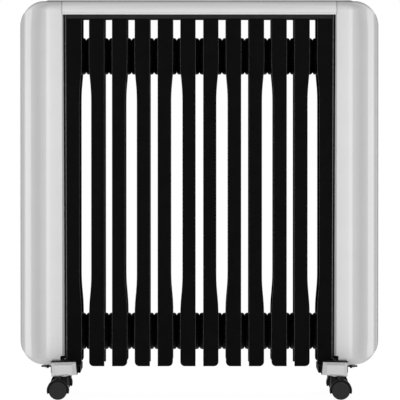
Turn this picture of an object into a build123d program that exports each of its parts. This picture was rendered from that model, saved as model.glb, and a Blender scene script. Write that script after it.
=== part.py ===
from build123d import *
import os

# Oil filled radiator heater, in millimetres.
# +Z is up, -Y is the front, and the origin is on the floor under the middle of the heater.

# Radiator fins: two pressed sheets welded back to back, with folded front and rear flanges
fin_count = 12
fin_pitch = 37.0
fin_depth = 150.0
fin_height = 582.0
sheet = 0.8
fold_run = 19.0
fold_edge = 12.25
free_edge = 12.5
waist_depth = 3.5
waist_low = 98.0
waist_high = 101.0
waist_run = 36.5
waist_blend = 300.0
flange_corner = 7.5

# Oil galleries and channels
hub_radius = 30.0
hub_shoulder = 4.5
hub_lift = 54.0
hub_drop = 78.5
end_hub = 12.5
gallery_radius = 22.0
channel_count = 3
channel_pitch = 27.0
channel_width = 18.0
channel_bulge = 5.5
channel_crest = 8.0

# Covers
cover_proud = 5.0
cover_width = 67.3
cover_draft = 3.5
cover_lift = 2.5
cover_headroom = 6.9
cover_wall = 2.5
cover_plan_radius = 48.0
cover_top_radius = 40.0
cover_bottom_radius = 38.0
cover_top_round = 15.0
cover_bottom_round = 10.0
cavity_top_round = 10.5
cavity_bottom_round = 7.5
cover_gap = 7.0
joint_gap = 0.6
notch_width = 6.0
notch_height = 10.0
notch_lift = 4.5
skirt_height = 22.1
skirt_lip = 3.0
skirt_lip_proud = 0.8
skirt_lip_round = 1.5
slot_width = 11.0
slot_length = 96.0
shield_drop = 18.0
shield_bend = 1.0
shield_gap = 0.3
panel_lap = 26.0
panel_setback = 10.0
panel_height = 5.0
panel_taper = 14.0
panel_edge = 2.0
side_panel_width = 62.0
side_panel_proud = 1.5
side_panel_inset = 20.2
plate = 1.2
plate_rib = 10.0
rib_inset = 9.5
plate_corner = 6.0
plate_foot = 22.0

# Feet
foot_top = 52.0
foot_steel = 2.0
foot_under = 23.0
foot_width = 48.0
foot_wall = 10.0
toe_gap = 1.0
toe_length = 43.0
toe_outer = 20.4
toe_inner_high = 19.6
toe_inner_low = 21.2
toe_height = 24.1
toe_taper = 2.0
toe_shift = 1.6
toe_drop = 1.7
toe_tilt = 1.2
cap_side = 0.4
cap_top = 1.3
cap_low = 0.2
cap_base = 2.0
cap_bevel = 5.0
cap_outer_inset = 5.5
cap_inner_inset = 8.3
cap_top_inset = 4.9
cap_bottom_inset = 2.7
cap_round = 0.8
tongue_reach = 16.0
tongue_width = 18.0
tongue_inset = 25.0

# Casters
wheel_radius = 15.0
wheel_width = 11.0
wheel_edge = 1.5
wheel_dish = 0.8
wheel_rim = 2.8
wheel_gap = 0.6
fender_gap = 1.0
fender_wall = 2.0
fender_drop = 5.0
hood_web = 4.0
hood_side = 0.4
neck_radius = 7.0
neck_rise = 7.0
trail = 9.5
stem_shift = 2.0
stem_inset = 16.0
stem_radius = 4.0
stem_socket = 8.5
collar_radius = 7.0
collar_height = 2.5
collar_gap = 1.0
seat_drop = 11.0
axle_radius = 2.0

# Fasteners
bolt_head_radius = 7.0
bolt_head = 2.5
bolt_offset = 13.0
bolt_inset = 35.0
bolt_window = 20.0
nut_radius = 7.0
nut_height = 5.5
screw_radius = 2.0
screw_head_radius = 4.0
screw_head = 2.2
screw_bite = 6.0
boss_radius = 5.0

# Heating element and plugs
element_radius = 4.2
element_bend = 9.0
element_inset = 13.0
terminal_reach = 16.0
plug_head_radius = 26.0
plug_head = 6.0
plug_depth = 4.0
plug_clearance = 1.0

# Controls on the right end
tray_half_width = 27.0
tray_height = 156.0
tray_drop = 52.6
tray_depth = 27.0
tray_wall = 2.0
tray_sink = 0.3
tray_gap = 0.3
knob_rise = 46.0
knob_radius = 18.0
knob_height = 18.0
knob_lift = 1.0
knob_grip = 5.0
knob_grip_depth = 6.0
knob_round = 1.2
shaft_radius = 3.0
shaft_gap = 0.5
running_gap = 0.05
thermostat_width = 32.0
thermostat_height = 34.0
thermostat_depth = 20.0
switch_drop = 42.0
switch_pitch = 21.0
switch_body_width = 43.0
switch_body_height = 31.0
switch_body_depth = 20.0
switch_bezel = 1.5
switch_bezel_lap = 1.5
rocker_width = 14.0
rocker_length = 22.0
rocker_half_thickness = 4.0
rocker_angle = 9.0
rocker_clearance = 0.6
rocker_pin_radius = 1.5
rocker_pin_length = 1.5
rocker_pivot = 3.0

# Small parts inside the right cover
cutout_radius = 9.0
cutout_height = 9.0
cutout_rise = 248.0
tip_width = 26.0
tip_height = 32.0
tip_depth = 15.0
tip_shift = -24.0
tip_rise = 138.0
gland_offset = 11.5
gland_rise = 58.0
gland_bore = 4.2
gland_neck = 5.6
gland_flange = 6.5
gland_inside = 8.0
gland_outside = 2.0

# Worked out from the sizes above
seam = 2 * sheet
fin_bottom = foot_top
fin_top = fin_bottom + fin_height
fin_half = fin_depth / 2
end_seam = (fin_count - 1) / 2 * fin_pitch
hub_low = fin_bottom + hub_lift
hub_high = fin_top - hub_drop
plate_in = end_seam + end_hub
plate_out = plate_in + plate
cover_in = plate_in + cover_gap
cover_out = cover_in + cover_width
cover_half = fin_half + cover_proud
cover_inner_half = cover_half - cover_wall
cover_bottom = foot_top + cover_lift
cover_floor = cover_bottom + cover_wall
cover_top = fin_top + plate + cover_headroom + cover_wall
panel_out = cover_out + side_panel_proud
foot_inner = plate_in - foot_under
foot_outer = foot_inner + foot_width
foot_middle = (foot_inner + foot_outer) / 2
tongue_x = foot_outer + tongue_reach / 2
tongue_y = fin_half - tongue_inset
bolt_x = plate_in + bolt_offset
bolt_y = fin_half - bolt_inset
bolt_radius = stem_radius
toe_back = cover_half + toe_gap
toe_front = toe_back + toe_length
toe_x = foot_middle + toe_shift
toe_z = foot_top - toe_drop
stem_x = foot_middle + stem_shift
stem_y = toe_front - stem_inset
seat_height = foot_top - seat_drop
collar_low = seat_height - collar_height
neck_height = collar_low - collar_gap
fender_inner = wheel_radius + fender_gap
fender_outer = fender_inner + fender_wall
wheel_inner = hood_web / 2 + wheel_gap
wheel_outer = wheel_inner + wheel_width
hood_half = wheel_outer + hood_side
tray_high = cover_top - tray_drop
tray_low = tray_high - tray_height
knob_z = tray_low + knob_rise
switch_z = tray_high - switch_drop
tray_floor_out = panel_out - tray_depth
tray_floor_in = tray_floor_out - tray_wall
rocker_x = tray_floor_out - rocker_pivot
gland_x = cover_in + gland_offset
gland_z = fin_bottom + gland_rise
cutout_z = fin_bottom + cutout_rise
tip_z = fin_bottom + tip_rise
slot_xs = [(i - (fin_count - 2) / 2) * fin_pitch for i in range(fin_count - 1)]
beyond = 20.0

nodes = {}


def span_box(x0, x1, y0, y1, z0, z1):
    """A box between two corners."""
    place = Pos((x0 + x1) / 2, (y0 + y1) / 2, (z0 + z1) / 2)
    return place * Box(abs(x1 - x0), abs(y1 - y0), abs(z1 - z0))


def rod_x(radius, x0, x1, y, z):
    """A cylinder along X."""
    return Pos((x0 + x1) / 2, y, z) * Rot(0, 90, 0) * Cylinder(radius, abs(x1 - x0))


def rod_y(radius, y0, y1, x, z):
    """A cylinder along Y."""
    return Pos(x, (y0 + y1) / 2, z) * Rot(90, 0, 0) * Cylinder(radius, abs(y1 - y0))


def rod_z(radius, z0, z1, x, y):
    """A cylinder along Z."""
    return Pos(x, y, (z0 + z1) / 2) * Cylinder(radius, abs(z1 - z0))


def hex_z(radius, z0, z1, x, y):
    """A hexagonal prism along Z."""
    return Pos(x, y, min(z0, z1)) * extrude(RegularPolygon(radius, 6), abs(z1 - z0))


def outline(points, rounds=()):
    """A flat face through points, with some of its corners rounded."""
    face = make_face(Polyline(*points, close=True))
    for radius, corners in rounds:
        picked = [face.vertices().sort_by_distance((x, y, 0))[0] for x, y in corners]
        face = fillet(picked, radius)
    return face


def along_y(face, y0, y1):
    """A face drawn in X and Z, extruded along Y."""
    return Pos(0, max(y0, y1), 0) * extrude(Plane.XZ * face, abs(y1 - y0))


def along_x(face, x0, x1):
    """A face drawn in Y and Z, extruded along X."""
    return Pos(min(x0, x1), 0, 0) * extrude(Plane.YZ * face, abs(x1 - x0))


def side_outline(half, low, high, top_round, bottom_round=None):
    """An outline in Y and Z with rounded upper corners, and rounded lower ones where asked."""
    points = [(-half, low), (half, low), (half, high), (-half, high)]
    rounds = [(top_round, points[2:])]
    if bottom_round:
        rounds.append((bottom_round, points[:2]))
    return outline(points, rounds)


def left_of(shape):
    """The mirror image of a right-hand piece."""
    return mirror(shape, about=Plane.YZ)


def both_faces(shape):
    """A front piece together with its mirror image at the rear."""
    return shape + mirror(shape, about=Plane.XZ)


# Fins
def hub(left, right, radius, shoulder, z):
    """One hub, as a body turned about X, reaching left and right of the seam."""
    points = [(-left, 0), (right, 0), (right, radius), (-left, radius)]
    profile = outline(points, [(shoulder, points[2:])])
    return Pos(0, 0, z) * revolve(profile, Axis.X)


def channel(grow):
    """One vertical oil channel between the two hubs, seen from above as a long hexagon."""
    half = channel_width / 2 + grow
    crest = channel_crest / 2 + grow / 2
    bulge = channel_bulge + grow
    points = [(0, -half), (bulge, -crest), (bulge, crest), (0, half), (-bulge, crest), (-bulge, -crest)]
    return Pos(0, 0, hub_low) * extrude(outline(points), hub_high - hub_low)


def flange(hand):
    """The front flange, straight at its fold and waisted along its free edge."""
    fold = -hand * fold_edge
    free = hand * free_edge
    waist = hand * (free_edge - waist_depth)
    low = fin_bottom + waist_low
    high = fin_top - waist_high
    bends = [(free, high), (waist, high - waist_run), (waist, low + waist_run), (free, low)]
    corner = (free, fin_bottom)
    points = [(fold, fin_bottom), (fold, fin_top), (free, fin_top), *bends, corner]
    face = outline(points, [(waist_blend, bends), (flange_corner, [corner])])
    return along_y(face, -fin_half, -fin_half + seam)


def fold(hand):
    """The slanted strip from the web to the folded edge of the flange."""
    web_end = -fin_half + fold_run
    edge = -hand * fold_edge
    points = [(-seam / 2, web_end), (seam / 2, web_end)]
    tip = [(edge + hand * seam * 1.4, -fin_half), (edge, -fin_half)]
    points += tip if hand > 0 else tip[::-1]
    return Pos(0, 0, fin_bottom) * extrude(outline(points), fin_height)


def fin(hand, left, right, left_open=True, right_open=True):
    """One fin: web, folds, flanges, hubs and channels, hollow where the oil runs."""
    web_half = fin_half - fold_run
    body = span_box(-seam / 2, seam / 2, -web_half, web_half, fin_bottom, fin_top)
    body += both_faces(flange(hand)) + both_faces(fold(hand))
    inside = None
    for z in (hub_low, hub_high):
        body += hub(left, right, hub_radius, hub_shoulder, z)
        space = hub(left - seam, right - seam, hub_radius - seam, hub_shoulder - seam, z)
        start = -left if left_open else 0
        end = right if right_open else 0
        space += rod_x(gallery_radius, start, end, 0, z)
        inside = space if inside is None else inside + space
    for i in range(channel_count):
        place = Pos(0, (i - (channel_count - 1) / 2) * channel_pitch, 0)
        body += place * channel(0)
        inside += place * channel(-sheet)
    return body - inside


half_pitch = fin_pitch / 2
inner_fins = {hand: fin(hand, half_pitch, half_pitch) for hand in (1, -1)}
for i in range(fin_count):
    hand = 1 if i % 2 == 0 else -1
    shape = inner_fins[hand]
    if i == 0:
        shape = fin(hand, end_hub, half_pitch, left_open=False)
    if i == fin_count - 1:
        shape = fin(hand, half_pitch, end_hub)
    nodes[f"fin_{i + 1:02d}"] = Pos(i * fin_pitch - end_seam, 0, 0) * shape


# Heating element and gallery plugs
def gallery_plug(z):
    """A screwed plug in the open right end of a gallery."""
    spigot = rod_x(gallery_radius, plate_in - plug_depth, plate_in, 0, z)
    head = rod_x(plug_head_radius, plate_in, plate_in + plug_head, 0, z)
    return spigot + head


def element_path():
    """The hairpin line of the tubular element along the bottom gallery."""
    near = plate_in + terminal_reach
    far = -end_seam + element_inset
    up = hub_low + element_bend
    down = hub_low - element_bend
    out = Line((near, 0, up), (far, 0, up))
    bend = ThreePointArc((far, 0, up), (far - element_bend, 0, hub_low), (far, 0, down))
    back = Line((far, 0, down), (near, 0, down))
    return out + bend + back


element_line = element_path()
element_start = Plane(origin=element_line @ 0, z_dir=element_line % 0)
nodes["heating_element"] = sweep(element_start * Circle(element_radius), path=element_line)
element_flange = gallery_plug(hub_low)
for dz in (-element_bend, element_bend):
    start = plate_in - plug_depth
    element_flange -= rod_x(element_radius, start, start + plug_depth + plug_head, 0, hub_low + dz)
nodes["element_flange"] = element_flange
nodes["fill_plug"] = gallery_plug(hub_high)


# End plates and end covers
def end_plate(plug_holes):
    """The black steel plate between the end fin and the end cover."""
    sheet_outline = side_outline(cover_inner_half, fin_bottom, fin_top, plate_corner)
    body = along_x(sheet_outline, plate_in, plate_out)
    rib_front = rib_inset - cover_inner_half
    rib = span_box(plate_in, plate_in + plate_rib, rib_front, rib_front + plate,
                   cover_bottom + cover_bottom_round, cover_top - cover_top_round)
    body += both_faces(rib)
    body += span_box(plate_in, plate_in + plate_foot, -fin_half, fin_half, fin_bottom, fin_bottom + plate)
    for y in (-bolt_y, bolt_y):
        body -= rod_z(bolt_radius, fin_bottom, fin_bottom + plate, bolt_x, y)
    if plug_holes:
        for z in (hub_low, hub_high):
            body -= rod_x(plug_head_radius + plug_clearance, plate_in, plate_out, 0, z)
    return body


def cover_front(grow, inner_shift):
    """The end cover's front outline, with its slanted inner edge."""
    out = cover_out + grow
    top = cover_top + grow
    bottom = cover_bottom - grow
    upper = (out, top)
    lower = (out, bottom)
    points = [(cover_in - inner_shift, top), upper, lower, (cover_in - cover_draft - inner_shift, bottom)]
    return outline(points, [(cover_top_radius + grow, [upper]), (cover_bottom_radius + grow, [lower])])


def cover_form(grow, inner_shift, top_round, bottom_round):
    """The end cover as a full body: its outlines from the front, from above and from the side."""
    half = cover_half + grow
    out = cover_out + grow
    start = cover_in - cover_draft - inner_shift
    points = [(start, -half), (out, -half), (out, half), (start, half)]
    plan = outline(points, [(cover_plan_radius + grow, points[1:3])])
    low, high = cover_bottom - grow, cover_top + grow
    prism = Pos(0, 0, low) * extrude(plan, high - low)
    bar = along_x(side_outline(half, low, high, top_round, bottom_round), start, out)
    return prism & along_y(cover_front(grow, inner_shift), -half, half) & bar


def end_cover():
    """The light grey shell over one end of the radiator, open towards the fins."""
    cavity = cover_form(-cover_wall, beyond, cavity_top_round, cavity_bottom_round)
    body = cover_form(0, 0, cover_top_round, cover_bottom_round) - cavity
    notch_low = cover_bottom + notch_lift
    inner_low = cover_in - cover_draft
    body -= span_box(inner_low - beyond, inner_low + notch_width, -cover_half, cover_half,
                     notch_low, notch_low + notch_height)
    window = bolt_y + bolt_window
    body -= span_box(inner_low - beyond, foot_outer, -window, window, cover_bottom, cover_floor)
    for y in (-tongue_y, tongue_y):
        body += rod_z(boss_radius, foot_top, cover_floor + screw_bite, tongue_x, y)
        body -= rod_z(screw_radius, foot_top, cover_floor + screw_bite, tongue_x, y)
    return body


def side_panel():
    """The slightly proud panel that follows the outer end of a cover."""
    half = side_panel_width / 2
    band = along_y(cover_front(side_panel_proud, 0), -half, half)
    band -= along_y(cover_front(0, beyond), -half, half)
    low = cover_bottom + side_panel_inset
    high = cover_top - side_panel_inset
    return band & span_box(cover_in + cover_width / 2, panel_out, -half, half, low, high)


def tray_window(grow):
    """The hole for the control panel through the right cover and its side panel."""
    half = tray_half_width + grow
    return span_box(tray_floor_in, panel_out + beyond, -half, half, tray_low - grow, tray_high + grow)


gland_hole = rod_y(gland_neck, cover_inner_half, cover_half, gland_x, gland_z)
nodes["left_end_plate"] = left_of(end_plate(False))
nodes["right_end_plate"] = end_plate(True)
nodes["left_end_cover"] = left_of(end_cover())
nodes["right_end_cover"] = end_cover() - tray_window(tray_gap) - gland_hole
nodes["left_side_panel"] = left_of(side_panel())
nodes["right_side_panel"] = side_panel() - tray_window(tray_gap)


# Top cover, top panel and the shield under them
def air_slots(grow, z0, z1):
    """The row of air slots over the gaps between the fins."""
    slot = SlotOverall(slot_length + 2 * grow, slot_width + 2 * grow, rotation=90)
    return [Pos(x, 0, z0) * extrude(slot, z1 - z0) for x in slot_xs]


def top_cover():
    """The light grey channel that joins the two end covers over the fins."""
    half_x = cover_in - joint_gap
    low = cover_top - skirt_height
    edge = low + skirt_lip
    front = -cover_half - skirt_lip_proud
    outside = side_outline(cover_half, edge, cover_top, cover_top_round)
    inside = side_outline(cover_inner_half, edge, cover_top - cover_wall, cavity_top_round)
    block = along_x(outside, -half_x, half_x) - along_x(inside, -half_x, half_x)
    points = [(front, low), (-cover_inner_half, low), (-cover_inner_half, edge), (front, edge)]
    lip = along_x(outline(points, [(skirt_lip_round, points[:1])]), -half_x, half_x)
    block += both_faces(lip)
    for slot in air_slots(0, cover_top - cover_wall, cover_top):
        block -= slot
    return block


def top_panel():
    """The low lid on the top cover, with tapered ends."""
    half_x = cover_in + panel_lap
    half_y = cover_half - panel_setback
    high = cover_top + panel_height
    top_x = half_x - panel_taper
    points = [(-half_x, cover_top), (half_x, cover_top), (top_x, high), (-top_x, high)]
    body = along_y(outline(points), -half_y, half_y)
    body = fillet(body.edges().filter_by(Axis.X).group_by(Axis.Z)[-1], panel_edge)
    for slot in air_slots(0, cover_top, high):
        body -= slot
    return body


def heat_shield():
    """The black steel channel that rests on the fins under the top cover."""
    half_x = plate_in - joint_gap
    half = cover_inner_half - shield_gap
    low = fin_top - shield_drop
    body = along_x(side_outline(half, low, fin_top + plate, shield_bend + plate), -half_x, half_x)
    body -= along_x(side_outline(half - plate, low, fin_top, shield_bend), -half_x, half_x)
    for slot in air_slots(plate, fin_top, fin_top + plate):
        body -= slot
    return body


nodes["top_cover"] = top_cover()
nodes["top_panel"] = top_panel()
nodes["heat_shield"] = heat_shield()


# Feet, with their caps and fasteners
def toe_place():
    """The tilted frame of a foot's toe."""
    return Pos(toe_x, 0, toe_z) * Rot(0, toe_tilt, 0)


def toe_points(side, top, low):
    """The corners of a toe's front outline, with its edges moved in."""
    half = toe_height / 2
    return [(side - toe_inner_low, toe_taper - half + low), (toe_outer - side, low - half),
            (toe_outer - side, half - top), (side - toe_inner_high, half - top)]


def toe():
    """The raised hollow front end of a foot, open underneath, with the seat of the caster's stem."""
    outer = along_y(outline(toe_points(0, 0, 0)), -toe_front, -toe_back)
    inner = along_y(outline(toe_points(foot_steel, foot_steel, -beyond)),
                    foot_steel - toe_front, -toe_back - foot_steel)
    shell = toe_place() * (outer - inner)
    seat = span_box(toe_x - toe_inner_high, toe_x + toe_outer - foot_steel / 2,
                    foot_steel / 2 - toe_front, -toe_back - foot_steel / 2,
                    seat_height, seat_height + foot_steel)
    return shell + seat - rod_z(stem_radius, seat_height, seat_height + foot_steel, stem_x, -stem_y)


def foot():
    """A steel foot: a low channel under the end fin, with a raised toe at each end."""
    reach = toe_back + foot_steel / 2
    low = foot_top - foot_wall
    body = span_box(foot_inner, foot_outer, -reach, reach, low, foot_top)
    body -= span_box(foot_inner + foot_steel, foot_outer - foot_steel, -reach, reach,
                     low, foot_top - foot_steel)
    body += both_faces(toe())
    for y in (-tongue_y, tongue_y):
        body += span_box(foot_outer - foot_steel, foot_outer + tongue_reach, y - tongue_width / 2,
                         y + tongue_width / 2, foot_top - foot_steel, foot_top)
        body -= rod_z(screw_radius, foot_top - foot_steel, foot_top, tongue_x, y)
    for y in (-bolt_y, bolt_y):
        body -= rod_z(bolt_radius, foot_top - foot_steel, foot_top, bolt_x, y)
    return body


def foot_cap():
    """A plastic cap on the front of a toe, bevelled to a smaller raised panel."""
    wide = outline(toe_points(cap_side, cap_top, cap_low))
    left = cap_side - toe_inner_low + cap_inner_inset
    right = toe_outer - cap_side - cap_outer_inset
    low = cap_low + cap_bottom_inset - toe_height / 2
    high = toe_height / 2 - cap_top - cap_top_inset
    rise = toe_taper * (right - left) / (toe_outer + toe_inner_low)
    narrow = outline([(left, low + rise), (right, low), (right, high), (left, high)])
    body = along_y(wide, -cap_base, 0)
    seat = Plane.XZ.offset(cap_base)
    crown = Plane.XZ.offset(cap_base + cap_bevel)
    body += loft([seat * wide, crown * narrow], ruled=True)
    body = fillet(body.faces().sort_by(Axis.Y)[0].edges(), cap_round)
    return toe_place() * Pos(0, -toe_front, 0) * body


def foot_bolt(x, y):
    """A low-headed bolt through the end plate's bottom flange and the foot."""
    seat = fin_bottom + plate
    head = rod_z(bolt_head_radius, seat, seat + bolt_head, x, y)
    return head + rod_z(bolt_radius, foot_top - foot_steel - nut_height, seat, x, y)


def nut(low, x, y):
    """A nut for a foot bolt or a caster stem."""
    return hex_z(nut_radius, low, low + nut_height, x, y) - rod_z(bolt_radius, low, low + nut_height, x, y)


def cover_screw(x, y):
    """A screw up through a foot's tongue into the end cover."""
    seat = foot_top - foot_steel
    head = rod_z(screw_head_radius, seat - screw_head, seat, x, y)
    return head + rod_z(screw_radius, seat, cover_floor + screw_bite, x, y)


def four(make, x, y):
    """The four copies of a fastener, one for each corner of the heater."""
    return [make(sx * x, sy * y) for sx in (-1, 1) for sy in (-1, 1)]


right_foot = foot()
right_cap = foot_cap()
nodes["right_foot"] = right_foot
nodes["left_foot"] = left_of(right_foot)
nodes["front_right_foot_cap"] = right_cap
nodes["front_left_foot_cap"] = left_of(right_cap)
nodes["rear_right_foot_cap"] = mirror(right_cap, about=Plane.XZ)
nodes["rear_left_foot_cap"] = mirror(left_of(right_cap), about=Plane.XZ)
bolt_nuts = four(lambda x, y: nut(foot_top - foot_steel - nut_height, x, y), bolt_x, bolt_y)
stem_nuts = four(lambda x, y: nut(seat_height + foot_steel, x, y), stem_x, stem_y)
nodes["foot_bolts"] = Compound(children=four(foot_bolt, bolt_x, bolt_y))
nodes["foot_nuts"] = Compound(children=bolt_nuts + stem_nuts)
nodes["cover_screws"] = Compound(children=four(cover_screw, tongue_x, tongue_y))


# Casters
def caster_stem(x, y):
    """A zinc stem: threaded above its collar, a plain swivel pin below it."""
    thread_top = seat_height + foot_steel + nut_height
    pin = rod_z(stem_radius, neck_height - stem_socket + collar_gap / 2, thread_top, x, y)
    return pin + rod_z(collar_radius, collar_low, seat_height, x, y)


def hood():
    """A caster's hood: a web between the wheels, a fender over them and the swivel neck."""
    body = rod_y(fender_outer, -hood_half, hood_half, trail, wheel_radius)
    body += rod_z(neck_radius, wheel_radius + neck_rise, neck_height, 0, 0)
    for side in (-1, 1):
        body -= rod_y(fender_inner, side * hood_web / 2, side * (hood_half + beyond), trail, wheel_radius)
    low = wheel_radius - fender_drop
    body -= span_box(trail - fender_outer, trail + fender_outer, -hood_half, hood_half, low - beyond, low)
    body -= rod_z(stem_radius + running_gap, neck_height - stem_socket, neck_height, 0, 0)
    return body - rod_y(axle_radius, -hood_web / 2, hood_web / 2, trail, wheel_radius)


def axle_reach():
    """How far an axle reaches into each wheel."""
    return wheel_outer - wheel_rim


def wheel():
    """One caster wheel, turned about its axle, with a blind bore and a dished outer face."""
    rim = wheel_radius - wheel_rim
    points = [(0, wheel_inner), (wheel_radius, wheel_inner), (wheel_radius, wheel_outer), (rim, wheel_outer),
              (rim - wheel_dish, wheel_outer - wheel_dish), (0, wheel_outer - wheel_dish)]
    profile = outline(points, [(wheel_edge, points[1:3])])
    body = revolve(profile, Axis.Y)
    bore = rod_y(axle_radius + running_gap, wheel_inner, axle_reach() + running_gap, 0, 0)
    return Pos(trail, 0, wheel_radius) * (body - bore)


caster_hood = hood()
caster_axle = rod_y(axle_radius, -axle_reach(), axle_reach(), trail, wheel_radius)
rear_wheel = wheel()
front_wheel = mirror(rear_wheel, about=Plane.XZ)
caster_parts = {"caster_hood": caster_hood, "caster_axle": caster_axle,
                "front_wheel": front_wheel, "rear_wheel": rear_wheel}
for row, y in (("front", -stem_y), ("rear", stem_y)):
    for part_name, shape in caster_parts.items():
        right = Pos(stem_x, y, 0) * shape
        nodes[f"{row}_right_{part_name}"] = right
        nodes[f"{row}_left_{part_name}"] = left_of(right)
nodes["caster_stems"] = Compound(children=four(caster_stem, stem_x, stem_y))


# Controls on the right end
def control_panel():
    """The recessed tray that carries the thermostat and the switches."""
    rim = panel_out - tray_sink
    body = span_box(tray_floor_in, rim, -tray_half_width, tray_half_width, tray_low, tray_high)
    half = tray_half_width - tray_wall
    body -= span_box(tray_floor_out, rim, -half, half, tray_low + tray_wall, tray_high - tray_wall)
    body -= rod_x(shaft_radius + shaft_gap, tray_floor_in, tray_floor_out, 0, knob_z)
    half_y = switch_body_width / 2
    half_z = switch_body_height / 2
    body -= span_box(tray_floor_in, tray_floor_out, -half_y, half_y,
                     switch_z - half_z, switch_z + half_z)
    return body


def thermostat_knob():
    """A round knob with a raised grip bar, on the thermostat's shaft."""
    base = tray_floor_out + knob_lift
    low = base + knob_height - knob_grip_depth
    body = rod_x(knob_radius, base, low, 0, knob_z)
    body = fillet(body.faces().sort_by(Axis.X)[-1].edges(), knob_round)
    grip = span_box(low, base + knob_height, -knob_grip / 2, knob_grip / 2,
                    knob_z - knob_radius + knob_round, knob_z + knob_radius - knob_round)
    grip = fillet(grip.faces().sort_by(Axis.X)[-1].edges(), knob_round)
    return body + grip - rod_x(shaft_radius, base, low, 0, knob_z)


def switch_housing():
    """The twin housing of the rocker switches, set in the floor of the control panel."""
    half_y = switch_body_width / 2
    half_z = switch_body_height / 2
    lap = switch_bezel_lap
    back = tray_floor_out - switch_body_depth
    face = tray_floor_out + switch_bezel
    body = span_box(back, tray_floor_out, -half_y, half_y, switch_z - half_z, switch_z + half_z)
    body += span_box(tray_floor_out, face, -half_y - lap, half_y + lap,
                     switch_z - half_z - lap, switch_z + half_z + lap)
    room_y = rocker_width / 2 + rocker_clearance
    room_z = rocker_length / 2 + 2 * rocker_clearance
    room_x = rocker_x - 2 * rocker_half_thickness
    pin = rocker_width / 2 + rocker_pin_length + rocker_clearance
    for y in (-switch_pitch / 2, switch_pitch / 2):
        body -= span_box(room_x, face, y - room_y, y + room_y, switch_z - room_z, switch_z + room_z)
        body -= rod_y(rocker_pin_radius + running_gap, y - pin, y + pin, rocker_x, switch_z)
    return body


def rocker(y):
    """One rocker in its off position, on two pins, with a shallow valley across its face."""
    t = rocker_half_thickness
    half = rocker_length / 2
    points = [(-t, -half), (t, -half), (t / 2, 0), (t, half), (-t, half)]
    body = along_y(outline(points), -rocker_width / 2, rocker_width / 2)
    pin = rocker_width / 2 + rocker_pin_length
    body += rod_y(rocker_pin_radius, -pin, pin, 0, 0)
    return Pos(rocker_x, y, switch_z) * Rot(0, -rocker_angle, 0) * body


thermostat_front = tray_floor_in
thermostat_back = thermostat_front - thermostat_depth
shaft_back = thermostat_back + thermostat_depth / 2
shaft_front = tray_floor_out + knob_lift + knob_height - knob_grip_depth
thermostat = span_box(thermostat_back, thermostat_front, -thermostat_width / 2, thermostat_width / 2,
                      knob_z - thermostat_height / 2, knob_z + thermostat_height / 2)
thermostat -= rod_x(shaft_radius + running_gap, shaft_back - running_gap, thermostat_front, 0, knob_z)
nodes["control_panel"] = control_panel()
nodes["thermostat_body"] = thermostat
nodes["thermostat_shaft"] = rod_x(shaft_radius, shaft_back, shaft_front, 0, knob_z)
nodes["thermostat_knob"] = thermostat_knob()
nodes["switch_housing"] = switch_housing()
nodes["front_rocker"] = rocker(-switch_pitch / 2)
nodes["rear_rocker"] = rocker(switch_pitch / 2)

# Small parts inside the right cover
nodes["thermal_cutout"] = rod_x(cutout_radius, plate_out, plate_out + cutout_height, 0, cutout_z)
tip_place = Pos(plate_out + tip_depth / 2, tip_shift, tip_z)
nodes["tip_over_switch"] = tip_place * Box(tip_depth, tip_width, tip_height)
gland = rod_y(gland_neck, cover_inner_half - gland_inside, cover_half, gland_x, gland_z)
gland += rod_y(gland_flange, cover_half, cover_half + gland_outside, gland_x, gland_z)
nodes["cord_gland"] = gland - rod_y(gland_bore, cover_inner_half - gland_inside, cover_half + gland_outside,
                                    gland_x, gland_z)

os.makedirs("parts", exist_ok=True)
for name, shape in nodes.items():
    export_step(shape, f"parts/{name}.step")
print(len(nodes), "nodes written")
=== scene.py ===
import math

import bpy
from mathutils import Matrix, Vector


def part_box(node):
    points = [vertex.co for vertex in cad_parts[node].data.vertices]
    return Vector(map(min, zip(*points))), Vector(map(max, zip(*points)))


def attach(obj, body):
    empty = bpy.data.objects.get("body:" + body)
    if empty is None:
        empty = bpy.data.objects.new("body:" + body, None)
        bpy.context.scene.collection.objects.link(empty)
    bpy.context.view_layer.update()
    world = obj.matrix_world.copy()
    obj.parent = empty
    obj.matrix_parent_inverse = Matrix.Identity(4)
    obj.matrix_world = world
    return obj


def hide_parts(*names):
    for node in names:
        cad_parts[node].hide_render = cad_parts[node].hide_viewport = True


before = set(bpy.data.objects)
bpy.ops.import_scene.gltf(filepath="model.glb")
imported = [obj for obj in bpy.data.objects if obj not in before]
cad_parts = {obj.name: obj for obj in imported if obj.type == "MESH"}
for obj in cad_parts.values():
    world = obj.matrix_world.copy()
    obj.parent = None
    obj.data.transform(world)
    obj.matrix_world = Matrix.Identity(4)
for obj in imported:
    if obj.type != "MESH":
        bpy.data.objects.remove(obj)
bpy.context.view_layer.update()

# Camera, in metres: the width that the picture spans at the front of the fins
picture_width = 0.6488
picture_middle = 0.3219
picture_centre = 0.0010
camera_distance = 8.0
camera_rise = 0.16
sensor_width = 36.0
clip_far = 100.0

# Studio tent, in metres: its rings by height, radius and share of the tone of its wall
tent_rings = (
    (0.0, 1.5, 1.0), (0.5, 1.5, 1.0), (1.05, 1.45, 0.6), (1.5, 1.1, 0.4), (1.75, 0.6, 0.35),
    (1.85, 0.0, 0.35),
)
# How bright the wall of the tent looks, by bearing in degrees from straight in front
wall_tones = (
    (0.0, 1.7), (10.6, 1.7), (11.0, 2.7), (23.6, 2.7), (25.2, 1.35), (33.0, 1.1), (41.0, 0.85),
    (50.0, 0.5), (56.0, 0.5), (62.0, 0.65), (67.0, 0.85), (76.0, 1.2), (80.5, 1.4), (83.0, 2.7),
    (107.5, 2.7), (113.0, 1.6), (119.5, 1.0), (131.5, 0.7), (150.5, 0.9), (180.0, 1.0),
)

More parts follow.
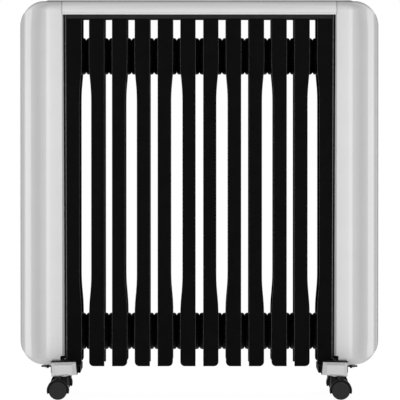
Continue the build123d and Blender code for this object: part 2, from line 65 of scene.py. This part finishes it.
# Floor and lights, in metres and watts
white = (1.0, 1.0, 1.0, 1.0)
floor_size = 9.0
floor_tone = (0.8, 0.8, 0.8, 1.0)
floor_roughness = 0.9
floor_glow = 1.09
floor_shadow = 0.12
room_light = 0.9
ceiling_light = 0.45
front_light = 75.0
front_light_size = 2.0
front_light_place = (0.0, -4.0, 1.2)

# Surfaces: the spread of their clouds, their grain, and the cosines of the bends that get a painted edge
# highlight
cloud_dark_end = 0.3
cloud_light_end = 0.7
noise_detail = 3.0
grain_strength = 0.35
edge_samples = 6
highlight_start = 0.99
highlight_full = 0.80

# End covers, in metres
depth_round = 0.048
top_corner = 0.040
bottom_corner = 0.038
top_round = 0.015
bottom_round = 0.010
cover_wall = 0.0025
face_edge = 0.2231
lip_high_width = 0.0022
lip_low_width = 0.0045
lip_step = 0.0003
boss_height = 0.0025
boss_radius = 0.005
boss_x = 0.249
boss_y = 0.050
notch_x = 0.2255
notch_z = 0.069
notch_rise = 0.0045
floor_opening_x = 0.241
floor_opening_y = 0.060
window_half = 0.0273
window_low = 0.4357
window_high = 0.5923
row_margin = 0.008
row_counts = (1, 6, 12)
plan_steps = 24
crease_steps = 6
boss_sides = 24
face_tolerance = 1e-4
weld_steps = 1e6
# The lip along their inner edge, from the front inwards: across and deep in lip widths, turned in degrees
lip_shape = (
    (0.10, 0.03, 26.0), (0.20, 0.12, 52.0), (1.0, 1.14, 52.0), (1.08, 1.30, 72.0), (1.12, 1.45, 90.0),
)

# Rolled edges of the end plates, in metres
hem_radius = 0.0009
hem_sides = 12
hem_y = 0.0769
hem_low_x = 0.2152
hem_high_x = 0.2171
hem_low_z = 0.0645
hem_high_z = 0.6296
hem_middle = (0.25, 0.5, 0.75)
# Their round tips: along the edge in radii, and the share of the radius there
hem_tip = ((0.0, 0.3), (0.3, 0.7), (1.0, 1.0))

# Printed marks at the controls, in metres and degrees
mark_height = 0.0002
mark_width = 0.0010
mark_slope = 0.8
knob_lift = 0.001
scale_radius = 0.0195
scale_steps = 10
scale_travel = 270.0
scale_short = 0.0014
scale_long = 0.0032
pointer_length = 0.008
pointer_end = 0.0165
switch_x = 0.2618
switch_z = 0.550
switch_y = 0.0105
switch_tilt = 9.0
rocker_near = 0.002
rocker_far = 0.004
rocker_half = 0.011
stroke_length = 0.004
loop_outer = 0.0022
loop_inner = 0.0015
loop_steps = 24

# Plates that close the ends of the feet's channels, in metres
gusset_y = 0.0818
gusset_width = 0.0056
gusset_height = 0.0104
foot_top = 0.052

upward = Vector((0.0, 0.0, 1.0))
frontward = Vector((0.0, -1.0, 0.0))


# Node helpers
def new_material(name):
    """An empty node material with its Principled shader."""
    material = bpy.data.materials.new(name)
    material.use_nodes = True
    shader = material.node_tree.nodes["Principled BSDF"]
    return material, shader


def grey(value):
    """A neutral colour of one brightness."""
    return (value, value, value, 1.0)


def add_node(tree, kind, **settings):
    """A new node with its attributes and its unlinked inputs set."""
    node = tree.nodes.new(kind)
    for key, value in settings.items():
        if key in node.inputs:
            node.inputs[key].default_value = value
        else:
            setattr(node, key, value)
    return node


def noise(tree, scale):
    """A noise pattern fixed to the object, in cycles per metre."""
    place = add_node(tree, "ShaderNodeTexCoord")
    pattern = add_node(tree, "ShaderNodeTexNoise", Scale=scale, Detail=noise_detail)
    tree.links.new(place.outputs["Object"], pattern.inputs["Vector"])
    return pattern


def tone_ramp(tree, pattern, dark, light):
    """Maps a pattern to a grey between two tones."""
    ramp = add_node(tree, "ShaderNodeValToRGB")
    first, last = ramp.color_ramp.elements
    first.position = cloud_dark_end
    last.position = cloud_light_end
    first.color = grey(dark)
    last.color = grey(light)
    tree.links.new(pattern.outputs["Fac"], ramp.inputs["Fac"])
    return ramp


def roughen(tree, shader, pattern, low, high):
    """Lets a pattern vary the roughness of a shader."""
    spread = add_node(tree, "ShaderNodeMapRange", **{"To Min": low, "To Max": high})
    tree.links.new(pattern.outputs["Fac"], spread.inputs["Value"])
    tree.links.new(spread.outputs["Result"], shader.inputs["Roughness"])


def painted_edge_highlight(tree, colour, soft_edge, tone):
    """Paints a highlight: lightens a colour where a soft edge bends away from its face."""
    face = add_node(tree, "ShaderNodeNewGeometry")
    along = add_node(tree, "ShaderNodeVectorMath", operation="DOT_PRODUCT")
    tree.links.new(soft_edge.outputs["Normal"], along.inputs[0])
    tree.links.new(face.outputs["Normal"], along.inputs[1])
    bend = add_node(tree, "ShaderNodeMapRange", **{"From Min": highlight_start, "From Max": highlight_full})
    tree.links.new(along.outputs["Value"], bend.inputs["Value"])
    mix = add_node(tree, "ShaderNodeMixRGB", Color2=grey(tone))
    tree.links.new(bend.outputs["Result"], mix.inputs["Fac"])
    tree.links.new(colour.outputs["Color"], mix.inputs["Color1"])
    return mix


def surface(name, tones, cloud, rough, grain, grain_height, edge=0.0, edge_highlight=0.0, **sockets):
    """A moulded, painted or rolled surface: cloudy tone, uneven gloss, fine grain, soft edges and, where
    asked, a painted highlight along them.
    """
    material, shader = new_material(name)
    tree = material.node_tree
    clouds = noise(tree, cloud)
    colour = tone_ramp(tree, clouds, *tones)
    roughen(tree, shader, clouds, *rough)
    fine = noise(tree, grain)
    bump = add_node(tree, "ShaderNodeBump", Strength=grain_strength, Distance=grain_height)
    tree.links.new(fine.outputs["Fac"], bump.inputs["Height"])
    if edge:
        soft_edge = add_node(tree, "ShaderNodeBevel", Radius=edge, samples=edge_samples)
        tree.links.new(soft_edge.outputs["Normal"], bump.inputs["Normal"])
        if edge_highlight:
            # Painted highlight: the colour turns paler along the soft edges
            colour = painted_edge_highlight(tree, colour, soft_edge, edge_highlight)
    tree.links.new(bump.outputs["Normal"], shader.inputs["Normal"])
    tree.links.new(colour.outputs["Color"], shader.inputs["Base Color"])
    for socket, value in sockets.items():
        shader.inputs[socket].default_value = value
    return material


# Materials, one for each slot of the record
def fin_paint():
    """Black stove enamel on pressed steel, with a painted highlight along its edges."""
    return surface("black_enamel", tones=(0.0014, 0.0022), cloud=60.0, rough=(0.30, 0.42), grain=900.0,
                   grain_height=0.00004, edge=0.0010, edge_highlight=0.13, **{"Specular IOR Level": 0.02})


def cover_plastic():
    """Pale grey gloss moulding."""
    return surface("pale_gloss_plastic", tones=(0.405, 0.42), cloud=25.0, rough=(0.06, 0.09), grain=500.0,
                   grain_height=0.000004, edge=0.0006, **{"Specular IOR Level": 1.0, "IOR": 1.6})


def strip_plastic():
    """The slightly paler moulding of the top cover."""
    return surface("pale_strip_plastic", tones=(0.465, 0.48), cloud=25.0, rough=(0.06, 0.09), grain=500.0,
                   grain_height=0.000004, edge=0.0006, **{"Specular IOR Level": 1.0, "IOR": 1.6})


def panel_plastic():
    """A darker grey moulding for the lid and the end panels."""
    return surface("mid_grey_plastic", tones=(0.33, 0.36), cloud=30.0, rough=(0.30, 0.38), grain=1400.0,
                   grain_height=0.00003, edge=0.0006)


def black_steel():
    """Powder coated sheet steel."""
    return surface("black_powder_coat", tones=(0.0035, 0.006), cloud=90.0, rough=(0.55, 0.7), grain=2200.0,
                   grain_height=0.00006, edge=0.0006, **{"Specular IOR Level": 0.05})


def shield_steel():
    """The thinner, greyer coat of the shield under the top cover."""
    return surface("grey_powder_coat", tones=(0.008, 0.013), cloud=90.0, rough=(0.5, 0.65), grain=2200.0,
                   grain_height=0.00005, edge=0.0006, **{"Specular IOR Level": 0.10})


def hem_steel():
    """The smooth rolled edge of an end plate: its gloss is real, and its grey, paler than the plate's
    coat, is a painted highlight.
    """
    return surface("glossy_coat_with_painted_highlight", tones=(0.030, 0.040), cloud=90.0, rough=(0.22, 0.32), grain=1200.0,
                   grain_height=0.00002, **{"Specular IOR Level": 0.7})


def hood_plastic():
    """Black moulded nylon, with a painted highlight along its edges."""
    return surface("black_nylon", tones=(0.002, 0.004), cloud=120.0, rough=(0.38, 0.5), grain=1800.0,
                   grain_height=0.00004, edge=0.0008, edge_highlight=0.05, **{"Specular IOR Level": 0.10})


def wheel_plastic():
    """Charcoal wheel nylon, cloudy in tone, with a painted highlight along its rims."""
    return surface("charcoal_nylon", tones=(0.006, 0.010), cloud=160.0, rough=(0.45, 0.6), grain=2400.0,
                   grain_height=0.00005, edge=0.0008, edge_highlight=0.045, **{"Specular IOR Level": 0.2})


def knob_plastic():
    """Satin black moulding of the knob and the rockers."""
    return surface("satin_black_plastic", tones=(0.010, 0.016), cloud=150.0, rough=(0.32, 0.42),
                   grain=2600.0, grain_height=0.00003, edge=0.0005)


def control_plastic():
    """Textured charcoal moulding of the control tray."""
    return surface("charcoal_plastic", tones=(0.030, 0.042), cloud=110.0, rough=(0.5, 0.62), grain=3000.0,
                   grain_height=0.00006, edge=0.0005)


def element_steel():
    """Dull heater sheath steel."""
    return surface("sheath_steel", tones=(0.34, 0.46), cloud=70.0, rough=(0.35, 0.5), grain=1500.0,
                   grain_height=0.00003, Metallic=1.0)


def zinc():
    """Bright zinc plating."""
    return surface("zinc_plate", tones=(0.62, 0.74), cloud=220.0, rough=(0.22, 0.34), grain=2500.0,
                   grain_height=0.00002, edge=0.0004, Metallic=1.0)


def paint_nodes():
    """Gives every CAD node the material of its slot, and returns the materials by slot."""
    finishes = {make.__name__: make() for make in (
        fin_paint, cover_plastic, panel_plastic, black_steel, hood_plastic, wheel_plastic,
        knob_plastic, control_plastic, element_steel, zinc)}
    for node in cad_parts.values():
        slots = [slot.name.split(".")[0] for slot in node.data.materials]
        for index, name in enumerate(slots):
            node.data.materials[index] = finishes[name]
    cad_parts["heat_shield"].data.materials[0] = shield_steel()
    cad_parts["top_cover"].data.materials[0] = strip_plastic()
    return finishes


# Piece helpers
def new_piece(name, shape, body, finish, smooth=False):
    """A visible piece from vertices and faces, with its material, that goes with a body."""
    vertices, faces = shape
    mesh = bpy.data.meshes.new(name)
    mesh.from_pydata(vertices, [], faces)
    if smooth:
        mesh.shade_smooth()
    mesh.materials.append(finish)
    piece = bpy.data.objects.new(name, mesh)
    bpy.context.scene.collection.objects.link(piece)
    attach(piece, body)
    return piece


# End covers
def plan_curve(out, half):
    """Points and normals of a cover's plan, from its front edge to the middle of its outer side."""
    samples = [(x, -half, 0.0, -1.0) for x in (face_edge, notch_x, floor_opening_x)]
    for step in range(plan_steps + 1):
        angle = math.radians(90.0 * step / plan_steps)
        nx, ny = math.sin(angle), -math.cos(angle)
        x = out - depth_round * (1 - nx)
        samples.append((x, -half + depth_round * (1 + ny), nx, ny))
    for y in (-window_half, 0.0):
        samples.append((out, y, 1.0, 0.0))
    return samples


def outline_end(x, out, corner):
    """How far the front outline has dropped at x, and its normal there: along x and up or down."""
    past = max(x - (out - corner), 0.0) / corner
    rise = math.sqrt(max(1.0 - past * past, 0.0))
    return corner * (1.0 - rise), past, rise


def crease(point, front_way, end_way, radius):
    """Points and normals of the rounding where the front meets the top or the bottom."""
    lean = 1.0 + front_way.dot(end_way)
    centre = point - radius * (front_way + end_way) / lean
    shares = [step / crease_steps for step in range(crease_steps + 1)]
    ways = [front_way.lerp(end_way, share).normalized() for share in shares]
    return [(centre + radius * way, way) for way in ways]


def cover_end(sample, out, sign, limit, corner, edge):
    """The part of a line over a cover that bends from its front into its top or its bottom."""
    x, y, nx, ny = sample
    front_way = Vector((nx, ny, 0.0))
    drop, past, rise = outline_end(x, out, corner)
    end_way = Vector((past, 0.0, sign * rise))
    share = max(front_way.dot(end_way), 0.0)
    arc = crease(Vector((x, y, limit - sign * drop)), front_way, end_way, edge * (1.0 - share))
    start = arc[-1][0]
    for reach in (-floor_opening_y, -window_half, 0.0):
        arc.append((Vector((start.x, max(start.y, reach), start.z)), end_way))
    return arc


def cover_column(sample, cover):
    """One line over a cover, from the middle of its top down its front to the middle of its bottom."""
    x, y, nx, ny = sample
    front_way = Vector((nx, ny, 0.0))
    top = cover_end(sample, cover["out"], 1.0, cover["top"], top_corner, top_round)
    bottom = cover_end(sample, cover["out"], -1.0, cover["bottom"], bottom_corner, bottom_round)
    first, last = (Vector((x, y, cover["rows"][row])) for row in (0, -1))
    upper = [top[0][0].lerp(first, share) for share in cover["upper"]]
    lower = [bottom[0][0].lerp(last, share) for share in cover["lower"]]
    middle = [Vector((x, y, z)) for z in cover["rows"]]
    return top[::-1] + [(point, front_way) for point in upper + middle + lower] + bottom


def lip_column(front, step, cover):
    """One line along the lip, set off from the line of the front's edge."""
    across, deep, turn = step
    inward = Vector((-1.0, 0.0, 0.0))
    line = []
    for point, way in front:
        if point.z > cover["strip"]:
            line.append((point, way))
            continue
        share = (point.z - cover["bottom"]) / (cover["strip"] - cover["bottom"])
        width = lip_low_width + (lip_high_width - lip_low_width) * share
        angle = math.radians(turn)
        turned = way * math.cos(angle) + inward * math.sin(angle)
        line.append((point + width * (across * inward - deep * way), turned))
    return line


def cover_rows(top, bottom):
    """Heights of the mesh lines that cross the whole cover, from the top down."""
    marks = (top - top_corner - row_margin, window_high, window_low, bottom + bottom_corner + row_margin)
    rows = []
    for high, low, count in zip(marks, marks[1:], row_counts):
        rows += [high + (low - high) * step / count for step in range(count)]
    return [*rows, marks[-1]]


def is_open(centre, cover):
    """Whether a patch of a cover is left out: the notches, the floor opening and the control window."""
    y = abs(centre.y)
    sill = cover["bottom"] + notch_rise
    in_notch = centre.x < notch_x and sill < centre.z < notch_z and y > floor_opening_y
    in_floor = centre.x < floor_opening_x and centre.z < sill and y < floor_opening_y
    in_window = cover["window"] and centre.x > cover["out"] - face_tolerance and y < window_half
    return in_notch or in_floor or (in_window and window_low < centre.z < window_high)


def grid_patches(grid):
    """The corners of each patch between the neighbouring lines of a grid."""
    for left, right in zip(grid, grid[1:]):
        for row in range(len(left) - 1):
            corners = (left[row], left[row + 1], right[row + 1], right[row])
            yield list(dict.fromkeys(corners))


def cover_skin(cover):
    """Vertices, normals and faces of the outside of a right-hand cover."""
    columns = [cover_column(sample, cover) for sample in plan_curve(cover["out"], cover["half"])]
    columns = [lip_column(columns[0], step, cover) for step in reversed(lip_shape)] + columns
    points, ways, faces, index = [], [], [], {}

    def place(point, way, turn):
        spot = Vector((point.x, point.y * turn, point.z))
        key = tuple(round(value * weld_steps) for value in spot)
        if key not in index:
            index[key] = len(points)
            points.append(spot)
            ways.append(Vector((way.x, way.y * turn, way.z)))
        return index[key]

    for turn in (1.0, -1.0):
        grid = [[place(point, way, turn) for point, way in column] for column in columns]
        for corners in grid_patches(grid):
            centre = sum((points[corner] for corner in corners), Vector()) / len(corners)
            if len(corners) > 2 and not is_open(centre, cover):
                faces.append(corners if turn > 0 else corners[::-1])
    return points, ways, faces


def screw_post(y, cover, base):
    """Vertices and faces of the short round post for a cover screw, numbered from a base."""
    low, high = cover["bottom"] - boss_height, cover["bottom"] + cover_wall
    turns = [2 * math.pi * step / boss_sides for step in range(boss_sides)]
    ring = [Vector((boss_x + boss_radius * math.cos(turn), y + boss_radius * math.sin(turn), z))
            for z in (low, high) for turn in turns]
    faces = [[base + step for step in reversed(range(boss_sides))]]
    for step in range(boss_sides):
        ahead = (step + 1) % boss_sides
        faces.append([base + step, base + ahead, base + boss_sides + ahead, base + boss_sides + step])
    return ring, faces


def cover_normals(mesh, ways, skin_faces, flip):
    """The normal at each corner of a cover: its skin's own, the other way inside, and flat on its rims."""
    count = len(ways)
    normals = []
    for polygon in mesh.polygons:
        for corner in polygon.vertices:
            if polygon.index >= skin_faces:
                normals.append(polygon.normal.copy())
            elif corner < count:
                normals.append(ways[corner] * flip)
            else:
                normals.append(ways[corner - count] * -flip)
    return normals


def end_cover(name, side, cover, finish):
    """A thin moulded cover with rounded edges, its openings and its two screw posts."""
    points, ways, faces = cover_skin(cover)
    count = len(points)
    vertices = points + [point - cover_wall * way for point, way in zip(points, ways)]
    shell = faces + [[corner + count for corner in reversed(face)] for face in faces]
    steps = {(a, b) for face in faces for a, b in zip(face, face[1:] + face[:1])}
    rims = [[b, a, a + count, b + count] for a, b in steps if (b, a) not in steps]
    for y in (-boss_y, boss_y):
        ring, post = screw_post(y, cover, len(vertices))
        vertices += ring
        rims += post
    everything = shell + rims
    if side < 0:
        everything = [face[::-1] for face in everything]
    flip = Vector((side, 1.0, 1.0))
    shape = [vertex * flip for vertex in vertices], everything
    piece = new_piece(name, shape, "radiator", finish, smooth=True)
    piece.data.normals_split_custom_set(cover_normals(piece.data, ways, len(shell), flip))
    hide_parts(name.replace("shell", "end_cover"))


def build_covers(finish):
    """Both end covers; the right one has the control window."""
    low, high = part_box("right_end_cover")
    cover = {"out": high.x, "half": high.y, "top": high.z, "bottom": low.z + boss_height}
    cover["strip"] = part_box("top_cover")[0].z
    cover["rows"] = cover_rows(cover["top"], cover["bottom"])
    upper, lower = cover["top"] - top_round, cover["bottom"] + bottom_round
    first, last = cover["rows"][0], cover["rows"][-1]
    cover["upper"] = [(upper - z) / (upper - first) for z in (cover["strip"] + lip_step, cover["strip"])]
    cover["lower"] = [(z - lower) / (last - lower) for z in ((lower + last) / 2, notch_z)]
    for name, side, window in (("left_shell", -1.0, False), ("right_shell", 1.0, True)):
        end_cover(name, side, {**cover, "window": window}, finish)


# Plate hems
def hem_rings(y):
    """Centres and radii along one rolled edge, from its lower tip to its upper one."""
    low = Vector((hem_low_x, y, hem_low_z))
    high = Vector((hem_high_x, y, hem_high_z))
    tip = hem_radius / (hem_high_z - hem_low_z)
    lower = [(along * tip, size) for along, size in hem_tip]
    upper = [(1.0 - share, size) for share, size in reversed(lower)]
    rings = lower + [(share, 1.0) for share in hem_middle] + upper
    return [(low.lerp(high, share), hem_radius * size) for share, size in rings]


def add_hem(shape, side, y):
    """Adds one rolled edge to a shape."""
    vertices, faces = shape
    base = len(vertices)
    rings = hem_rings(y)
    turns = [2 * math.pi * step / hem_sides for step in range(hem_sides)]
    for centre, radius in rings:
        for turn in turns:
            x = side * centre.x + radius * math.cos(turn)
            vertices.append((x, y + radius * math.sin(turn), centre.z))
    last = base + (len(rings) - 1) * hem_sides
    for here in range(base, last, hem_sides):
        for step in range(hem_sides):
            ahead = (step + 1) % hem_sides
            faces.append((here + step, here + ahead, here + hem_sides + ahead, here + hem_sides + step))
    faces.append([base + step for step in reversed(range(hem_sides))])
    faces.append([last + step for step in range(hem_sides)])


def plate_hem(name, side, finish):
    """The rolled front and rear edges of one end plate."""
    shape = ([], [])
    for y in (-hem_y, hem_y):
        add_hem(shape, side, y)
    new_piece(name, shape, "radiator", finish, smooth=True)


def build_hems():
    """The rolled edges of both end plates."""
    finish = hem_steel()
    plate_hem("left_plate_hem", -1.0, finish)
    plate_hem("right_plate_hem", 1.0, finish)


# Foot plates and marks at the controls
def pale_print():
    """The pale ink of the marks at the controls."""
    return surface("pale_print", tones=(0.55, 0.62), cloud=200.0, rough=(0.45, 0.55), grain=2500.0,
                   grain_height=0.00001)


def add_bar(shape, centre, along, across, length, width):
    """Adds a low bar with sloping sides to a shape."""
    vertices, faces = shape
    base = len(vertices)
    out = along.cross(across)
    for rise, share in ((0.0, 1.0), (mark_height, mark_slope)):
        for u, v in ((-0.5, -0.5), (0.5, -0.5), (0.5, 0.5), (-0.5, 0.5)):
            side = share * (u * length * along + v * width * across)
            vertices.append(centre + rise * out + side)
    top = base + 4
    faces.append((top, top + 1, top + 2, top + 3))
    faces.append((base + 3, base + 2, base + 1, base))
    for step in range(4):
        ahead = (step + 1) % 4
        faces.append((base + step, base + ahead, top + ahead, top + step))


def add_loop(shape, centre, along, across):
    """Adds a low ring to a shape."""
    vertices, faces = shape
    base = len(vertices)
    out = along.cross(across)
    slope = (1.0 - mark_slope) * mark_width / 2
    profile = ((loop_outer, 0.0), (loop_outer - slope, mark_height), (loop_inner + slope, mark_height),
               (loop_inner, 0.0))
    count = len(profile)
    for step in range(loop_steps):
        turn = 2 * math.pi * step / loop_steps
        way = math.cos(turn) * along + math.sin(turn) * across
        vertices += [centre + radius * way + rise * out for radius, rise in profile]
    for step in range(loop_steps):
        here = base + count * step
        ahead = base + count * ((step + 1) % loop_steps)
        for side in range(count):
            other = (side + 1) % count
            faces.append((here + side, ahead + side, ahead + other, here + other))


def foot_gussets(finish):
    """Thin plates that close the feet's channels beside their toes."""
    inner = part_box("right_foot")[0].x
    x = inner + gusset_width / 2
    z = foot_top - gusset_height / 2
    shape = ([], [])
    for side in (-1.0, 1.0):
        for end in (-1.0, 1.0):
            centre = Vector((side * x, end * gusset_y, z))
            add_bar(shape, centre, Vector((-end, 0.0, 0.0)), upward, gusset_width, gusset_height)
    new_piece("foot_gussets", shape, "radiator", finish)


def dial_scale(finish):
    """The scale on the tray around the knob, with longer strokes towards hot."""
    low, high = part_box("thermostat_knob")
    middle = (low + high) / 2
    hub = Vector((low.x - knob_lift, middle.y, middle.z))
    shape = ([], [])
    for step in range(scale_steps + 1):
        turn = math.radians(scale_travel * step / scale_steps)
        along = Vector((0.0, math.sin(turn), math.cos(turn)))
        across = Vector((0.0, -math.cos(turn), math.sin(turn)))
        length = scale_short + (scale_long - scale_short) * step / scale_steps
        add_bar(shape, hub + (scale_radius + length / 2) * along, along, across, length, mark_width)
    new_piece("dial_scale", shape, "radiator", finish)


def knob_pointer(finish):
    """The stroke and the dot on the knob's grip."""
    low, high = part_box("thermostat_knob")
    middle = (low + high) / 2
    face = Vector((high.x, middle.y, middle.z))
    shape = ([], [])
    stroke = face + (pointer_end - pointer_length / 2) * upward
    dot = face + (pointer_end - pointer_length - mark_width) * upward
    add_bar(shape, stroke, upward, frontward, pointer_length, mark_width)
    add_bar(shape, dot, upward, frontward, mark_width, mark_width)
    new_piece("knob_pointer", shape, "thermostat_dial", finish)


def rocker_face(half, y):
    """The middle of one half of a rocker's face, and the way up along it, in the off position."""
    tilt = math.radians(switch_tilt)
    spots = []
    for x, z in ((rocker_near, 0.0), (rocker_far, half * rocker_half)):
        spots.append(Vector((switch_x + x * math.cos(tilt) - z * math.sin(tilt), y,
                             switch_z + x * math.sin(tilt) + z * math.cos(tilt))))
    return (spots[0] + spots[1]) / 2, half * (spots[1] - spots[0]).normalized()


def switch_marks(name, y, body, finish):
    """The loop and the stroke on the two halves of a rocker."""
    shape = ([], [])
    centre, along = rocker_face(1.0, y)
    add_loop(shape, centre, along, frontward)
    centre, along = rocker_face(-1.0, y)
    add_bar(shape, centre, along, frontward, stroke_length, mark_width)
    new_piece(name, shape, body, finish)


def build_marks():
    """Every printed mark at the controls."""
    ink = pale_print()
    dial_scale(ink)
    knob_pointer(ink)
    switch_marks("front_switch_marks", -switch_y, "front_switch_rocker", ink)
    switch_marks("rear_switch_marks", switch_y, "rear_switch_rocker", ink)


# Stage
def mixed_by_ray(tree, seen, other, output):
    """Shows one shader to camera, glossy and transmission rays, and another to the rest."""
    rays = add_node(tree, "ShaderNodeLightPath")
    either = add_node(tree, "ShaderNodeMath", operation="MAXIMUM")
    any_of = add_node(tree, "ShaderNodeMath", operation="MAXIMUM")
    blend = add_node(tree, "ShaderNodeMixShader")
    tree.links.new(rays.outputs["Is Camera Ray"], either.inputs[0])
    tree.links.new(rays.outputs["Is Glossy Ray"], either.inputs[1])
    tree.links.new(either.outputs[0], any_of.inputs[0])
    tree.links.new(rays.outputs["Is Transmission Ray"], any_of.inputs[1])
    tree.links.new(any_of.outputs[0], blend.inputs[0])
    tree.links.new(other.outputs[0], blend.inputs[1])
    tree.links.new(seen.outputs[0], blend.inputs[2])
    tree.links.new(blend.outputs[0], output.inputs["Surface"])


def build_world():
    """A white room that lights the object softly, more from around than from above."""
    world = bpy.data.worlds.new("white_room")
    world.use_nodes = True
    tree = world.node_tree
    room = tree.nodes["Background"]
    way = add_node(tree, "ShaderNodeTexCoord")
    split = add_node(tree, "ShaderNodeSeparateXYZ")
    level = add_node(tree, "ShaderNodeMapRange", **{"To Min": room_light, "To Max": ceiling_light})
    tree.links.new(way.outputs["Generated"], split.inputs[0])
    tree.links.new(split.outputs["Z"], level.inputs["Value"])
    tree.links.new(level.outputs["Result"], room.inputs["Strength"])
    room.inputs["Color"].default_value = white
    backdrop = add_node(tree, "ShaderNodeBackground", Color=white, Strength=1.0)
    mixed_by_ray(tree, backdrop, room, tree.nodes["World Output"])
    bpy.context.scene.world = world


def flat_mesh(name, corners, faces, material):
    """A stage object from corners and faces."""
    mesh = bpy.data.meshes.new(name)
    mesh.from_pydata(corners, [], faces)
    mesh.materials.append(material)
    item = bpy.data.objects.new(name, mesh)
    bpy.context.scene.collection.objects.link(item)
    return item


def build_floor():
    """A pale floor that looks white and keeps a soft shadow."""
    material, shader = new_material("pale_floor")
    tree = material.node_tree
    shader.inputs["Base Color"].default_value = floor_tone
    shader.inputs["Roughness"].default_value = floor_roughness
    shader.inputs["Specular IOR Level"].default_value = 0.0
    glow = add_node(tree, "ShaderNodeEmission", Color=white, Strength=floor_glow)
    shadow = add_node(tree, "ShaderNodeMixShader", Fac=1.0 - floor_shadow)
    tree.links.new(shader.outputs[0], shadow.inputs[1])
    tree.links.new(glow.outputs[0], shadow.inputs[2])
    tree.links.new(shadow.outputs[0], tree.nodes["Material Output"].inputs["Surface"])
    half = floor_size / 2
    corners = [(-half, -half, 0), (half, -half, 0), (half, half, 0), (-half, half, 0)]
    flat_mesh("floor", corners, [(0, 1, 2, 3)], material)


def tent_mesh():
    """Corners, tones and faces of the tent, bearing by bearing from its back."""
    ring = [(-bearing, level) for bearing, level in reversed(wall_tones[1:])] + list(wall_tones)
    corners, tones, faces = [], [], []
    for bearing, level in ring:
        turn = math.radians(bearing)
        for height, radius, share in tent_rings:
            corners.append((radius * math.sin(turn), -radius * math.cos(turn), height))
            tones.append(level * share)
    rows = len(tent_rings)
    for here in range(0, rows * (len(ring) - 1), rows):
        ahead = here + rows
        faces += [(here + row, ahead + row, ahead + row + 1, here + row + 1) for row in range(rows - 1)]
    return corners, tones, faces


def build_tent():
    """A round tent of soft light and shade that shows only in the gloss of the object."""
    material, shader = new_material("studio_tent")
    tree = material.node_tree
    tree.nodes.remove(shader)
    tone = add_node(tree, "ShaderNodeAttribute", attribute_name="tone")
    glow = add_node(tree, "ShaderNodeEmission", Color=white)
    tree.links.new(tone.outputs["Fac"], glow.inputs["Strength"])
    tree.links.new(glow.outputs[0], tree.nodes["Material Output"].inputs["Surface"])
    corners, tones, faces = tent_mesh()
    tent = flat_mesh("studio_tent", corners, faces, material)
    tent.data.attributes.new("tone", "FLOAT", "POINT").data.foreach_set("value", tones)
    tent.visible_camera = False
    tent.visible_diffuse = False
    tent.visible_shadow = False


def build_front_light():
    """A broad soft lamp in front of the object, outside the tent."""
    lamp = bpy.data.lights.new("front_light", "AREA")
    lamp.energy = front_light
    lamp.size = front_light_size
    item = bpy.data.objects.new("front_light", lamp)
    item.location = front_light_place
    aim = Vector((0.0, 0.0, picture_middle)) - item.location
    item.rotation_euler = aim.to_track_quat("-Z", "Y").to_euler()
    item.visible_glossy = False
    bpy.context.scene.collection.objects.link(item)


def build_camera():
    """A long lens in front of the object, a little above its middle."""
    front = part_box("fin_06")[0].y
    aim = Vector((picture_centre, front, picture_middle))
    place = aim + Vector((0.0, -camera_distance, camera_rise))
    sight = aim - place
    lens = bpy.data.cameras.new("camera")
    lens.sensor_width = sensor_width
    lens.lens = sensor_width * sight.length / picture_width
    lens.clip_end = clip_far
    camera = bpy.data.objects.new("camera", lens)
    camera.location = place
    camera.rotation_euler = sight.to_track_quat("-Z", "Y").to_euler()
    bpy.context.scene.collection.objects.link(camera)
    bpy.context.scene.camera = camera


finishes = paint_nodes()
build_covers(finishes["cover_plastic"])
build_hems()
foot_gussets(finishes["black_steel"])
build_marks()
build_world()
build_floor()
build_tent()
build_front_light()
build_camera()
bpy.context.scene.view_settings.view_transform = "Standard"
